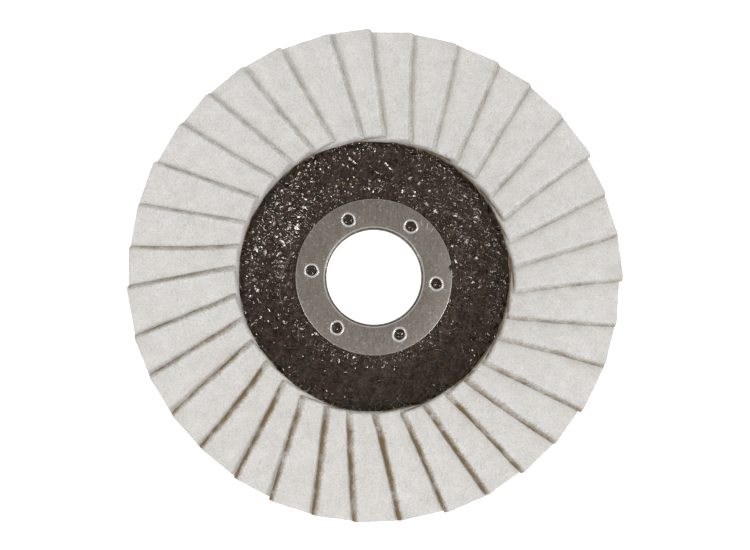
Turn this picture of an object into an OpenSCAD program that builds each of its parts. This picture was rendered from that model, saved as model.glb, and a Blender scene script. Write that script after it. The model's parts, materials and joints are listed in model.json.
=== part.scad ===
// Felt flap polishing disc for an angle grinder.
// +Z is the arbor axis and points to the felt side. Z = 0 is the face that seats on the tool.

/* [Bore and steel bush] */
// Diameter of the bore that fits the tool's spindle boss
bore_d = 22.23; // [20:0.01:24]
// Outer diameter of the front flange of the bush
bush_d = 36.7; // [34:0.1:39]
// Sheet thickness of the bush and the rear ring
sheet_t = 0.6; // [0.6:0.05:0.8]
// Radius of the rolled edge where the bush turns into the bore
roll_r = 0.6; // [0.3:0.05:0.6]
// Outer diameter of the steel ring on the rear side
rear_ring_d = 35; // [32:0.5:38]
// Number of punched crimps
crimp_count = 6; // [4:1:8]
// Diameter of the circle that the crimps lie on
crimp_circle_d = 29.4; // [28:0.1:31]
// Inside diameter of one crimp
crimp_hole_d = 2.7; // [2:0.1:3]
// Wall thickness of a crimp's burr
crimp_wall = 0.4; // [0.3:0.05:0.5]
// Depth that a crimp reaches below the flange
crimp_depth = 1.2; // [0.8:0.05:1.5]
// Angle of the first crimp, clockwise from +Y
crimp_start = 36; // [0:1:59]

/* [Backing plate] */
// Outer diameter of the glass cloth plate
plate_d = 104; // [98:1:108]
// Thickness of each outer glass cloth ply
ply_t = 0.35; // [0.25:0.05:0.5]
// Thickness of the core between the outer plies
core_t = 1.3; // [1.2:0.05:1.6]
// Height from the sunken hub to the flange that carries the felt
hub_drop = 4; // [3:0.25:6]
// Diameter of the flat of the hub
hub_flat_d = 40.6; // [40:0.1:42]
// Diameter where the slope of the hub ends
hub_slope_d = 62; // [58:0.5:64]
// Thickness of the paper label on the rear side
label_t = 0.15; // [0.1:0.05:0.3]

/* [Felt flaps] */
// Number of felt flaps
flap_count = 35; // [32:1:38]
// Width of one flap, across its length
flap_w = 14; // [13:0.25:15]
// Length of one flap, from the inner circle to the rim
flap_l = 25.2; // [24:0.2:26]
// Distance from the arbor axis to the inner end of a flap
flap_inner = 31.8; // [31:0.1:32.5]
// Distance that a flap's upper edge passes beside the arbor axis
flap_offset = 6.3; // [5.5:0.1:7]
// Height between one flap and the next, at the same place
flap_step = 3; // [2.6:0.1:3.2]
// Height that the felt face falls from its inner circle to the rim
face_drop = 2; // [1:0.1:2.5]
// Angle of the first flap's middle, clockwise from +Y
flap_start = -8.1; // [-10:0.1:10]

/* [Hidden] */
bore_r = bore_d / 2;
collar_r = bore_r + sheet_t;
plate_rear_z = sheet_t;
plate_t = 2 * ply_t + core_t;
hub_front_z = plate_rear_z + plate_t;
bush_front_z = hub_front_z + sheet_t;
flange_front_z = hub_front_z + hub_drop;
slope_steps = 16;

// Gaps that keep faceted felt clear of its neighbours
felt_gap = 0.12;
bed_gap = 0.03;
// Thinnest part of the adhesive, under the inner ends of the flaps
bed_min_t = 0.4;
bed_d = plate_d - 1;
label_margin = 1.5;

flap_pitch = 360 / flap_count;
// Rise of the felt for each degree round the disc
flap_rise = flap_step / flap_pitch;
cells_across = 6;
cells_along = 7;
bed_steps = 10;

function two_digits(k) = str(k < 10 ? "0" : "", k);
function flap_name(k) = str("flap_", two_digits(k));

$fn = 96;

// ---- the pressed profile of the backing plate ----

// Height of the plate above the hub's level: 0 on the hub, hub_drop on the flange
function lift(r) =
    let (run = (r - hub_flat_d / 2) / (hub_slope_d / 2 - hub_flat_d / 2))
    hub_drop * (1 - cos(180 * min(max(run, 0), 1))) / 2;

function slope_radius(i) =
    hub_flat_d / 2 + (hub_slope_d / 2 - hub_flat_d / 2) * i / slope_steps;

// Radii of the plate's outline from its inner edge to its outer edge
plate_radii = concat(
    [collar_r],
    [for (i = [0 : slope_steps]) slope_radius(i)],
    [plate_d / 2]
);

// One pressed layer, from hub height z to z + t
module pressed_layer(z, t) {
    low = [for (r = plate_radii) [r, z + lift(r)]];
    high = [for (i = [len(low) - 1 : -1 : 0]) low[i] + [0, t]];
    rotate_extrude()
        polygon(concat(low, high));
}

// Seats for the crimps, cut from the hub's front face downwards
module crimp_seats() {
    at_crimps()
        translate([0, 0, hub_front_z - crimp_depth])
            cylinder(h = crimp_depth + 1, d = crimp_hole_d + 2 * crimp_wall);
}

module at_crimps() {
    for (k = [0 : crimp_count - 1])
        rotate([0, 0, -(crimp_start + k * 360 / crimp_count)])
            translate([0, crimp_circle_d / 2, 0])
                children();
}

module rear_glass_ply() {
    color([0.20, 0.16, 0.13])
        pressed_layer(plate_rear_z, ply_t);
}

module core_ply() {
    color([0.25, 0.20, 0.15])
        difference() {
            pressed_layer(plate_rear_z + ply_t, core_t);
            crimp_seats();
        }
}

module front_glass_ply() {
    color([0.22, 0.18, 0.15])
        difference() {
            pressed_layer(plate_rear_z + ply_t + core_t, ply_t);
            crimp_seats();
        }
}

// ---- steel parts ----

// Flange on the front of the plate, rolled over into a collar that lines the bore
module bush_body() {
    rotate_extrude() {
        translate([bore_r, 0])
            square([sheet_t, bush_front_z - roll_r]);
        translate([bore_r, bush_front_z - roll_r])
            intersection() {
                translate([roll_r, 0])
                    circle(r = roll_r);
                square(roll_r);
            }
        translate([bore_r + roll_r, hub_front_z])
            square([bush_d / 2 - bore_r - roll_r, sheet_t]);
    }
}

// Each crimp is a burr punched down through the flange into the plate
module front_bush() {
    color([0.52, 0.49, 0.45])
        difference() {
            union() {
                bush_body();
                at_crimps()
                    translate([0, 0, hub_front_z - crimp_depth])
                        cylinder(h = crimp_depth + sheet_t / 2, d = crimp_hole_d + 2 * crimp_wall);
            }
            at_crimps()
                translate([0, 0, hub_front_z - crimp_depth - 1])
                    cylinder(h = crimp_depth + sheet_t + 2, d = crimp_hole_d);
        }
}

module rear_ring() {
    color([0.55, 0.52, 0.48])
        difference() {
            cylinder(h = sheet_t, d = rear_ring_d);
            translate([0, 0, -1])
                cylinder(h = sheet_t + 2, r = collar_r);
        }
}

module rear_label() {
    label_z = plate_rear_z + hub_drop - label_t;
    color([0.82, 0.80, 0.75])
        translate([0, 0, label_z])
            difference() {
                cylinder(h = label_t, d = plate_d - 2 * label_margin);
                translate([0, 0, -1])
                    cylinder(h = label_t + 2, d = hub_slope_d + 2 * label_margin);
            }
}

// ---- felt flaps ----
// In a flap's own frame x runs clockwise across it and y runs outwards along its length.

// Angle of a point clockwise from the flap's middle line
function turn(x, y) = atan2(x, y);

// Height of the felt face at radius r, measured from its inner circle
function face_height(r) = -face_drop * (r - flap_inner) / flap_l;

// Height of a flap's upper surface, measured from the inner circle of the felt face
function upper_height(x, y) =
    let (r = norm([x, y]))
    face_height(r) + flap_rise * (turn(x, y) - asin(flap_offset / r));

function upper_point(x, y) = [x, y, upper_height(x, y)];

// Direction square to the upper surface
function square_to(x, y) =
    let (
        d = 0.01,
        across = upper_point(x + d, y) - upper_point(x - d, y),
        along = upper_point(x, y + d) - upper_point(x, y - d),
        n = cross(across, along)
    )
    n / norm(n);

// The matching point on the lower surface
function lower_point(x, y) =
    let (n = square_to(x, y))
    upper_point(x, y) - (flap_step - felt_gap) * n[2] * n;

// Lower edge of a flap, which rests in the adhesive
function root_point(y) = lower_point(flap_offset - flap_w, y);
function root_profile(y) =
    let (p = root_point(y))
    [norm([p[0], p[1]]), p[2]];

// Height of the felt face's inner circle above the tool seat
face_z = flange_front_z + bed_min_t - root_point(flap_inner)[2] + bed_gap;

module adhesive_bed() {
    bed_outer = bed_d / 2;
    rows = [
        for (i = [0 : bed_steps])
            let (p = root_profile(flap_inner + (bed_outer - flap_inner) * i / bed_steps))
            [min(p[0], bed_outer), p[1] + face_z - bed_gap]
    ];
    bed_inner = flap_inner + bed_min_t;
    color([0.45, 0.33, 0.19])
        rotate_extrude()
            polygon(concat(
                [[bed_outer, flange_front_z], [bed_inner, flange_front_z]],
                rows
            ));
}

function grid_x(i) = flap_offset - flap_w + flap_w * i / cells_across;
function grid_y(j) = flap_inner + flap_l * j / cells_along;

// One flap: two gridded surfaces and the band of four cut edges that joins them
module felt_slab() {
    nx = cells_across + 1;
    ny = cells_along + 1;
    layer = nx * ny;
    upper = [for (j = [0 : ny - 1]) for (i = [0 : nx - 1]) upper_point(grid_x(i), grid_y(j))];
    lower = [for (j = [0 : ny - 1]) for (i = [0 : nx - 1]) lower_point(grid_x(i), grid_y(j))];
    corners = [
        for (j = [0 : ny - 2]) for (i = [0 : nx - 2])
            let (a = j * nx + i)
            [a, a + 1, a + nx + 1, a + nx]
    ];
    upper_faces = [
        for (c = corners) each [[c[0], c[2], c[1]], [c[0], c[3], c[2]]]
    ];
    lower_faces = [
        for (c = corners) each [
            [c[0] + layer, c[1] + layer, c[2] + layer],
            [c[0] + layer, c[2] + layer, c[3] + layer]
        ]
    ];
    // The upper layer's rim, once round, anticlockwise from above
    rim = concat(
        [for (i = [0 : nx - 2]) i],
        [for (j = [0 : ny - 2]) j * nx + nx - 1],
        [for (i = [nx - 1 : -1 : 1]) (ny - 1) * nx + i],
        [for (j = [ny - 1 : -1 : 1]) j * nx]
    );
    edge_faces = [
        for (k = [0 : len(rim) - 1])
            let (a = rim[k], b = rim[(k + 1) % len(rim)])
            each [[a, b, b + layer], [a, b + layer, a + layer]]
    ];
    polyhedron(points = concat(upper, lower), faces = concat(upper_faces, lower_faces, edge_faces));
}

module flap(k) {
    color([0.83, 0.82, 0.79])
        translate([0, 0, face_z])
            rotate([0, 0, -(flap_start + (k - 1) * flap_pitch)])
                felt_slab();
}

front_bush();
rear_ring();
rear_glass_ply();
core_ply();
front_glass_ply();
adhesive_bed();
rear_label();
for (k = [1 : flap_count])
    flap(k);
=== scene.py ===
import json
import math
import random

import bpy
import numpy as np
from mathutils import Matrix, Vector


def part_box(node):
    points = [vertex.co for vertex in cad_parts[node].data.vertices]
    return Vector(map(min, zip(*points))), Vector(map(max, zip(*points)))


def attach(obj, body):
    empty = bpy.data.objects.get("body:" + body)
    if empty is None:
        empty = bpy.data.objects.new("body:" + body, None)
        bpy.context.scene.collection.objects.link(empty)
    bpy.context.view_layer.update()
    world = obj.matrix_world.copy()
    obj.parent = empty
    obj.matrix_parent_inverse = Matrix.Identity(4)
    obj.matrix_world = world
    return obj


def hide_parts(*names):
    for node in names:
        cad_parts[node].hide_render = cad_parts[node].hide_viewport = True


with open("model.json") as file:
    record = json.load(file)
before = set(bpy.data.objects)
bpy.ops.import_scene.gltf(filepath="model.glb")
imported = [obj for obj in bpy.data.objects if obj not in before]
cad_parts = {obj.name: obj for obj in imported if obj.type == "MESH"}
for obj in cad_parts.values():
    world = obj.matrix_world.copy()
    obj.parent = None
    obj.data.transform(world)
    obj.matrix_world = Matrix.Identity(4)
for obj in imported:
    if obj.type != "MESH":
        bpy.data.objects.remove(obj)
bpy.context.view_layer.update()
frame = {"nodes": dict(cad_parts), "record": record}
mm = 0.001
fullTurn = 2 * math.pi

# Levels that every piece is built from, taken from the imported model
plateThickness = 2.0 * mm
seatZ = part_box("rear_ring")[0].z
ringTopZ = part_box("rear_ring")[1].z
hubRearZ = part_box("rear_glass_ply")[0].z
hubFrontZ = ringTopZ + plateThickness
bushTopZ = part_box("front_bush")[1].z
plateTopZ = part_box("front_glass_ply")[1].z
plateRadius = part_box("core_ply")[1].x
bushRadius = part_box("front_bush")[1].x
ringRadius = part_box("rear_ring")[1].x
boreMount = next(m for m in frame["record"]["mounts"] if m["name"] == "arbor_bore")
boreRadius = boreMount["dims"]["r_mm"] * mm
print("frame loaded", len(frame["nodes"]), "nodes")


def isolate(piece):
    # object mode, with only this piece selected
    active = bpy.context.view_layer.objects.active
    if active is not None and active.mode != "OBJECT":
        bpy.ops.object.mode_set(mode="OBJECT")
    bpy.ops.object.select_all(action="DESELECT")
    if piece is not None:
        piece.select_set(True)
    bpy.context.view_layer.objects.active = piece


def spinOutline(name, outline, steps):
    # a closed outline of (radius, height) pairs, swept once round the arbor axis
    mesh = bpy.data.meshes.new(name)
    edges = [(i, (i + 1) % len(outline)) for i in range(len(outline))]
    mesh.from_pydata([(r, 0, z) for r, z in outline], edges, [])
    piece = bpy.data.objects.new(name, mesh)
    bpy.context.collection.objects.link(piece)
    isolate(piece)
    sweep = piece.modifiers.new("sweep", "SCREW")
    sweep.angle = fullTurn
    sweep.steps = steps
    sweep.render_steps = steps
    sweep.use_merge_vertices = True
    sweep.merge_threshold = 0.001 * mm      # closes the seam only
    bpy.ops.object.modifier_apply(modifier=sweep.name)
    bpy.ops.object.mode_set(mode="EDIT")
    bpy.ops.mesh.select_all(action="SELECT")
    bpy.ops.mesh.normals_make_consistent(inside=False)
    bpy.ops.object.mode_set(mode="OBJECT")
    return piece


def joinPieces(piece, others):
    isolate(piece)
    for other in others:
        other.select_set(True)
    bpy.ops.object.join()
    return piece


def arc(centreR, centreZ, radius, startDeg, endDeg, steps):
    # points of an outline along part of a circle, anticlockwise where endDeg is the larger
    angles = [math.radians(startDeg + (endDeg - startDeg) * i / steps) for i in range(steps + 1)]
    return [(centreR + radius * math.cos(a), centreZ + radius * math.sin(a)) for a in angles]


def readPoints(piece):
    points = np.empty(len(piece.data.vertices) * 3)
    piece.data.vertices.foreach_get("co", points)
    return points.reshape(-1, 3)


def writePoints(piece, points):
    piece.data.vertices.foreach_set("co", np.asarray(points, float).ravel())
    piece.data.update()


def paintPoints(piece, label, values):
    # one number for each point, which a material reads by its label
    layer = piece.data.attributes.new(label, "FLOAT", "POINT")
    layer.data.foreach_set("value", np.asarray(values).astype(np.float32))


rippleShape = {
    "waves": 4,                   # waves in each octave
    "finer": 1.7,                 # how much finer each octave is than the one before
    "weaker": 1.8,                # and how much weaker
    "spread": (0.75, 1.3),        # range of one wave's pace about its octave's
    "sum": 5.5,                   # about the most that the waves add up to
}


def ripple(x, y, size, seed, octaves=3):
    # smooth, repeatable bumps of about this size, mostly between -1 and 1, the same for the same seed
    dice = random.Random(seed)
    total = np.zeros_like(x)
    for octave in range(octaves):
        for wave in range(rippleShape["waves"]):
            heading = dice.uniform(0, math.pi)
            pace = fullTurn / size * rippleShape["finer"] ** octave * dice.uniform(*rippleShape["spread"])
            phase = dice.uniform(0, fullTurn)
            across = x * math.cos(heading) + y * math.sin(heading)
            total += np.sin(across * pace + phase) / rippleShape["weaker"] ** octave
    return total / rippleShape["sum"]


def smooth(edgeLow, edgeHigh, value):
    # 0 at the first edge, 1 at the second, with a soft start and end
    t = np.clip((value - edgeLow) / (edgeHigh - edgeLow), 0, 1)
    return t * t * (3 - 2 * t)


def finishPiece(piece, material, slotName, *cadNodes, smoothDeg=35):
    # material, shading and body, and hides the imported solids that the piece stands for
    piece.data.materials.clear()
    piece.data.materials.append(material)
    isolate(piece)
    bpy.ops.object.shade_smooth_by_angle(angle=math.radians(smoothDeg))
    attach(piece, "root")
    if cadNodes:
        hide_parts(*cadNodes)


def newGroup(name, inputs, outputs):
    group = bpy.data.node_groups.new(name, "ShaderNodeTree")
    for label, kind, value in inputs:
        socket = group.interface.new_socket(name=label, in_out="INPUT", socket_type=kind)
        if value is not None:
            socket.default_value = value
    for label, kind in outputs:
        group.interface.new_socket(name=label, in_out="OUTPUT", socket_type=kind)
    start = group.nodes.new("NodeGroupInput")
    end = group.nodes.new("NodeGroupOutput")
    return group, start, end


def addNode(tree, kind, values=None, **settings):
    # a node with its settings, its socket values and its incoming links in one call
    node = tree.nodes.new(kind)
    for key, value in settings.items():
        setattr(node, key, value)
    for key, value in (values or {}).items():
        if isinstance(value, bpy.types.NodeSocket):
            tree.links.new(value, node.inputs[key])
        else:
            node.inputs[key].default_value = value
    return node


def maths(tree, operation, a, b=0.0, c=0.0):
    node = addNode(tree, "ShaderNodeMath", {0: a, 1: b, 2: c}, operation=operation)
    return node.outputs[0]


def vectorMaths(tree, operation, values, output=0):
    return addNode(tree, "ShaderNodeVectorMath", values, operation=operation).outputs[output]


def remap(tree, value, fromLow, fromHigh, toLow, toHigh, kind="LINEAR"):
    node = addNode(tree, "ShaderNodeMapRange", interpolation_type=kind, values={
        "Value": value, "From Min": fromLow, "From Max": fromHigh, "To Min": toLow, "To Max": toHigh,
    })
    return node.outputs[0]


def mixColours(tree, amount, low, high):
    node = addNode(tree, "ShaderNodeMix", {0: amount, 6: low, 7: high}, data_type="RGBA")
    return node.outputs[2]


def noiseNode(tree, place, perMetre, detail, rough, warp=0.0):
    return addNode(tree, "ShaderNodeTexNoise", {
        "Vector": place, "Scale": perMetre, "Detail": detail, "Roughness": rough, "Distortion": warp,
    })


def noise(tree, place, size, detail=3.0, rough=0.55):
    # size is the width of one blotch, in metres
    return noiseNode(tree, place, 1 / size, detail, rough).outputs["Fac"]


def buildMottle():
    # cloudy tone, and a grain several times finer
    group, start, end = newGroup("mottle", [
        ("Place", "NodeSocketVector", None), ("Per Metre", "NodeSocketFloat", 400.0),
    ], [("Tone", "NodeSocketFloat"), ("Grain", "NodeSocketFloat")])
    place, perMetre = start.outputs["Place"], start.outputs["Per Metre"]
    big = noiseNode(group, place, perMetre, 4.0, 0.6).outputs["Fac"]
    fine = noiseNode(group, place, maths(group, "MULTIPLY", perMetre, 7.3), 3.0, 0.65).outputs["Fac"]
    group.links.new(remap(group, big, 0.3, 0.7, 0.0, 1.0), end.inputs["Tone"])
    group.links.new(fine, end.inputs["Grain"])
    return group


fibreShape = {
    "runs": ((12, 0.14), (74, 0.16), (131, 0.12)),     # heading in degrees, and how far drawn out
    "lean": (0.4, 0.3),           # tilt of every run out of the plane, so walls show threads too
    "width": 0.09,
    "warpShare": 0.35,            # pace of the curl beside the threads' own
    "heightShare": 0.34,
}


def buildFibres():
    # thin crossing threads, as in felt, paper and chopped glass
    group, start, end = newGroup("fibres", [
        ("Place", "NodeSocketVector", None), ("Per Metre", "NodeSocketFloat", 1500.0),
        ("Curl", "NodeSocketFloat", 0.6),
    ], [("Threads", "NodeSocketFloat"), ("Height", "NodeSocketFloat")])
    place, perMetre = start.outputs["Place"], start.outputs["Per Metre"]
    warpPace = maths(group, "MULTIPLY", perMetre, fibreShape["warpShare"])
    warp = noiseNode(group, place, warpPace, 2.0, 0.5).outputs["Color"]
    reach = maths(group, "DIVIDE", start.outputs["Curl"], perMetre)
    curl = vectorMaths(group, "SCALE", {0: warp, "Scale": reach})
    bent = vectorMaths(group, "ADD", {0: place, 1: curl})
    layers = []
    for turnDeg, stretch in fibreShape["runs"]:
        tilt = (*fibreShape["lean"], math.radians(turnDeg))
        turned = addNode(group, "ShaderNodeMapping", {
            "Vector": bent, "Rotation": tilt, "Scale": (1.0, stretch, 1.0),
        }).outputs[0]
        strand = noiseNode(group, turned, perMetre, 2.0, 0.5).outputs["Fac"]
        ridge = maths(group, "ABSOLUTE", maths(group, "SUBTRACT", strand, 0.5))
        layers.append(remap(group, ridge, 0.0, fibreShape["width"], 1.0, 0.0))
    top = maths(group, "MAXIMUM", maths(group, "MAXIMUM", layers[0], layers[1]), layers[2])
    total = maths(group, "ADD", maths(group, "ADD", layers[0], layers[1]), layers[2])
    group.links.new(top, end.inputs["Threads"])
    group.links.new(maths(group, "MULTIPLY", total, fibreShape["heightShare"]), end.inputs["Height"])
    return group


def buildStroke():
    # 1 along a short straight stroke from Start in Heading, 0 away from it
    group, start, end = newGroup("stroke", [
        ("Place", "NodeSocketVector", None), ("Start", "NodeSocketVector", None),
        ("Heading", "NodeSocketVector", None), ("Length", "NodeSocketFloat", 2 * mm),
        ("Width", "NodeSocketFloat", 0.1 * mm),
    ], [("Mask", "NodeSocketFloat")])
    heading = start.outputs["Heading"]
    offset = vectorMaths(group, "SUBTRACT", {0: start.outputs["Place"], 1: start.outputs["Start"]})
    flat = vectorMaths(group, "MULTIPLY", {0: offset, 1: (1, 1, 0)})
    run = vectorMaths(group, "DOT_PRODUCT", {0: flat, 1: heading}, "Value")
    kept = maths(group, "MINIMUM", maths(group, "MAXIMUM", run, 0.0), start.outputs["Length"])
    nearest = vectorMaths(group, "SCALE", {0: heading, "Scale": kept})
    away = vectorMaths(group, "DISTANCE", {0: flat, 1: nearest}, "Value")
    share = maths(group, "DIVIDE", away, start.outputs["Width"])
    group.links.new(remap(group, share, 0.2, 1.0, 1.0, 0.0, "SMOOTHSTEP"), end.inputs["Mask"])
    return group


def buildRingMask():
    # 1 near a given distance from the arbor axis, 0 away from it
    group, start, end = newGroup("ringMask", [
        ("Place", "NodeSocketVector", None), ("Radius", "NodeSocketFloat", 18 * mm),
        ("Width", "NodeSocketFloat", 0.3 * mm),
    ], [("Mask", "NodeSocketFloat")])
    split = addNode(group, "ShaderNodeSeparateXYZ", {0: start.outputs["Place"]})
    flat = addNode(group, "ShaderNodeCombineXYZ", {0: split.outputs[0], 1: split.outputs[1]}).outputs[0]
    distance = vectorMaths(group, "LENGTH", {0: flat}, "Value")
    away = maths(group, "ABSOLUTE", maths(group, "SUBTRACT", distance, start.outputs["Radius"]))
    share = maths(group, "DIVIDE", away, start.outputs["Width"])
    group.links.new(remap(group, share, 0.0, 1.0, 1.0, 0.0, "SMOOTHSTEP"), end.inputs["Mask"])
    return group


def buildDust():
    # pale dust that settles in patches of fine specks
    group, start, end = newGroup("dust", [
        ("Place", "NodeSocketVector", None), ("Patch Per Metre", "NodeSocketFloat", 120.0),
        ("Amount", "NodeSocketFloat", 0.3),
    ], [("Mask", "NodeSocketFloat")])
    specksPerMetre = 5200.0
    place = start.outputs["Place"]
    patch = noiseNode(group, place, start.outputs["Patch Per Metre"], 5.0, 0.6, 0.6).outputs["Fac"]
    specks = noiseNode(group, place, specksPerMetre, 2.0, 0.7).outputs["Fac"]
    broad = remap(group, patch, 0.5, 0.72, 0.0, 1.0)
    crumbs = remap(group, specks, 0.42, 0.62, 0.35, 1.0)
    mask = maths(group, "MULTIPLY", maths(group, "MULTIPLY", broad, crumbs), start.outputs["Amount"])
    group.links.new(mask, end.inputs["Mask"])
    return group


mottleGroup = buildMottle()
fibreGroup = buildFibres()
strokeGroup = buildStroke()
ringGroup = buildRingMask()
dustGroup = buildDust()


def useGroup(tree, group, **values):
    # a group placed in a material; an input's spaces are written as underscores
    node = tree.nodes.new("ShaderNodeGroup")
    node.node_tree = group
    for key, value in values.items():
        label = key.replace("_", " ")
        if isinstance(value, bpy.types.NodeSocket):
            tree.links.new(value, node.inputs[label])
        else:
            node.inputs[label].default_value = value
    return node.outputs


def newMaterial(name):
    material = bpy.data.materials.new(name)
    material.use_nodes = True
    tree = material.node_tree
    tree.nodes.clear()
    shader = tree.nodes.new("ShaderNodeBsdfPrincipled")
    output = tree.nodes.new("ShaderNodeOutputMaterial")
    tree.links.new(shader.outputs[0], output.inputs[0])
    place = tree.nodes.new("ShaderNodeTexCoord").outputs["Object"]
    return material, tree, shader, place


def addBump(tree, shader, height, distance, strength):
    bump = addNode(tree, "ShaderNodeBump", {"Height": height, "Distance": distance, "Strength": strength})
    tree.links.new(bump.outputs[0], shader.inputs["Normal"])


feltLook = {
    "pale": (0.92, 0.905, 0.88, 1),
    "shade": (0.66, 0.64, 0.61, 1),
    "fleck": (0.50, 0.46, 0.40, 1),
    # brown of soaked adhesive, also used as painted shade on the cut edges and inner ends
    "soakedAndShadedBrown": (0.225, 0.150, 0.055, 1),
    # grey of grime on the leading corners
    "grimeAndShadeTone": (0.62, 0.60, 0.565, 1),
    "cloudsPerMetre": 300.0,
    "tuftsPerMetre": 2500.0,
    "fibresPerMetre": 2300.0,
    "fleckSize": 0.45 * mm,
    "curl": 1.2,
    "soakAndShadeStart": 0.48,            # higher keeps more of the felt clear of the painted shade and adhesive brown
    "sheen": 0.15,
    "gloss": 0.2,
    "bump": 0.10 * mm,
}


def makeFelt():
    material, tree, shader, place = newMaterial("pressedFelt")
    cloudy = useGroup(tree, mottleGroup, Place=place, Per_Metre=feltLook["cloudsPerMetre"])
    tufts = useGroup(tree, mottleGroup, Place=place, Per_Metre=feltLook["tuftsPerMetre"])
    fibres = useGroup(tree, fibreGroup, Place=place, Per_Metre=feltLook["fibresPerMetre"],
                      Curl=feltLook["curl"])

    # tone of clean felt, with dark flecks
    broad = maths(tree, "MULTIPLY", cloudy["Tone"], 0.34)
    mid = maths(tree, "MULTIPLY_ADD", tufts["Tone"], 0.62, broad)
    tone = maths(tree, "MULTIPLY_ADD", fibres["Height"], 0.25, mid)
    clean = mixColours(tree, tone, feltLook["pale"], feltLook["shade"])
    specks = noise(tree, place, feltLook["fleckSize"], 2.0, 0.6)
    flecks = maths(tree, "MULTIPLY", remap(tree, specks, 0.66, 0.76, 0.0, 0.35), cloudy["Tone"])
    base = mixColours(tree, flecks, clean, feltLook["fleck"])

    # grime, and the brown of soaked adhesive and of painted shade on cut edges and inner ends, where the
    # flap says so
    grimeLevel = addNode(tree, "ShaderNodeAttribute", attribute_name="grime").outputs["Fac"]
    grime = maths(tree, "MULTIPLY", grimeLevel, remap(tree, cloudy["Grain"], 0.35, 0.65, 0.45, 1.0))
    worn = mixColours(tree, grime, base, feltLook["grimeAndShadeTone"])
    soakAndShadeLevel = addNode(tree, "ShaderNodeAttribute", attribute_name="soakAndShade").outputs["Fac"]
    tuft = maths(tree, "MULTIPLY", tufts["Tone"], 0.42)
    patchy = maths(tree, "MULTIPLY", maths(tree, "SUBTRACT", cloudy["Tone"], 0.5), soakAndShadeLevel)
    frayed = maths(tree, "ADD", maths(tree, "MULTIPLY_ADD", cloudy["Grain"], 0.55, tuft), patchy)
    ragged = maths(tree, "ADD", frayed, maths(tree, "SUBTRACT", soakAndShadeLevel, feltLook["soakAndShadeStart"]))
    soakAndShade = remap(tree, ragged, 0.1, 1.0, 0.0, 1.0)
    tree.links.new(mixColours(tree, soakAndShade, worn, feltLook["soakedAndShadedBrown"]), shader.inputs["Base Color"])
    tree.links.new(remap(tree, soakAndShade, 0.0, 1.0, 0.95, 0.7), shader.inputs["Roughness"])

    shader.inputs["Sheen Weight"].default_value = feltLook["sheen"]
    shader.inputs["Sheen Roughness"].default_value = 0.5
    shader.inputs["Specular IOR Level"].default_value = feltLook["gloss"]
    height = maths(tree, "MULTIPLY_ADD", fibres["Height"], 0.7, maths(tree, "MULTIPLY", tufts["Tone"], 0.5))
    addBump(tree, shader, height, feltLook["bump"], 0.9)
    return material


clothLook = {
    "resin": (0.0125, 0.0062, 0.0030, 1),
    "thread": (0.084, 0.053, 0.031, 1),
    "dust": (0.23, 0.19, 0.15, 1),
    "scratch": (0.36, 0.33, 0.30, 1),
    "sheenTint": (1.0, 0.94, 0.87, 1),
    "pitchU": 4.18 * mm,
    "pitchV": 3.63 * mm,
    "turnDeg": -24,
    "gloss": 0.7,
    "cloudsPerMetre": 420.0,
    "strandsPerMetre": 3000.0,
    "dustPerMetre": 170.0,
    "dashSize": 0.50 * mm,        # width of the short pale dashes that follow the threads
    "dashDraw": 0.35,             # lower draws them out longer
    "scratchHeading": (0.42, 0.907, 0),
    "scratchLength": 7 * mm,
    "scratchWidth": 0.32 * mm,
    "bump": 0.02 * mm,
}


def makeCloth(name, dustAmount, pitGloss, threadGloss, scratchStart=None):
    # glass threads under dark resin: wet-looking pits between duller threads, and a little dust
    material, tree, shader, place = newMaterial(name)
    thread = addNode(tree, "ShaderNodeAttribute", attribute_name="thread").outputs["Fac"]
    cloudy = useGroup(tree, mottleGroup, Place=place, Per_Metre=clothLook["cloudsPerMetre"])
    strands = useGroup(tree, fibreGroup, Place=place, Per_Metre=clothLook["strandsPerMetre"], Curl=0.5)
    dashes = []
    for turnDeg in (clothLook["turnDeg"], clothLook["turnDeg"] + 90):
        along = addNode(tree, "ShaderNodeVectorRotate", {
            "Vector": place, "Angle": -math.radians(turnDeg),
        }, rotation_type="Z_AXIS").outputs[0]
        drawnOut = (clothLook["dashDraw"], 1.0, 1.0)
        stretched = addNode(tree, "ShaderNodeMapping", {"Vector": along, "Scale": drawnOut}).outputs[0]
        dashes.append(noise(tree, stretched, clothLook["dashSize"], 2.0, 0.6))
    dash = remap(tree, maths(tree, "MAXIMUM", dashes[0], dashes[1]), 0.47, 0.68, 0.0, 1.0)
    shown = maths(tree, "MULTIPLY", maths(tree, "MULTIPLY_ADD", thread, 0.5, 0.5), dash)
    colour = mixColours(tree, shown, clothLook["resin"], clothLook["thread"])
    dust = useGroup(tree, dustGroup, Place=place, Patch_Per_Metre=clothLook["dustPerMetre"],
                    Amount=dustAmount)["Mask"]
    colour = mixColours(tree, dust, colour, clothLook["dust"])
    if scratchStart is not None:
        stroke = useGroup(tree, strokeGroup, Place=place, Start=scratchStart,
                          Heading=clothLook["scratchHeading"], Length=clothLook["scratchLength"],
                          Width=clothLook["scratchWidth"])["Mask"]
        faint = maths(tree, "MULTIPLY", stroke, remap(tree, cloudy["Grain"], 0.35, 0.6, 0.05, 0.42))
        colour = mixColours(tree, faint, colour, clothLook["scratch"])
    tree.links.new(colour, shader.inputs["Base Color"])
    gloss = remap(tree, shown, 0.0, 1.0, pitGloss, threadGloss)
    tree.links.new(maths(tree, "MULTIPLY_ADD", dust, 0.5, gloss), shader.inputs["Roughness"])
    shader.inputs["Specular IOR Level"].default_value = clothLook["gloss"]
    shader.inputs["Specular Tint"].default_value = clothLook["sheenTint"]
    fine = maths(tree, "MULTIPLY_ADD", cloudy["Grain"], 0.9, maths(tree, "MULTIPLY", strands["Height"], 0.2))
    addBump(tree, shader, maths(tree, "MULTIPLY_ADD", dash, 0.5, fine), clothLook["bump"], 0.6)
    return material


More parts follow.
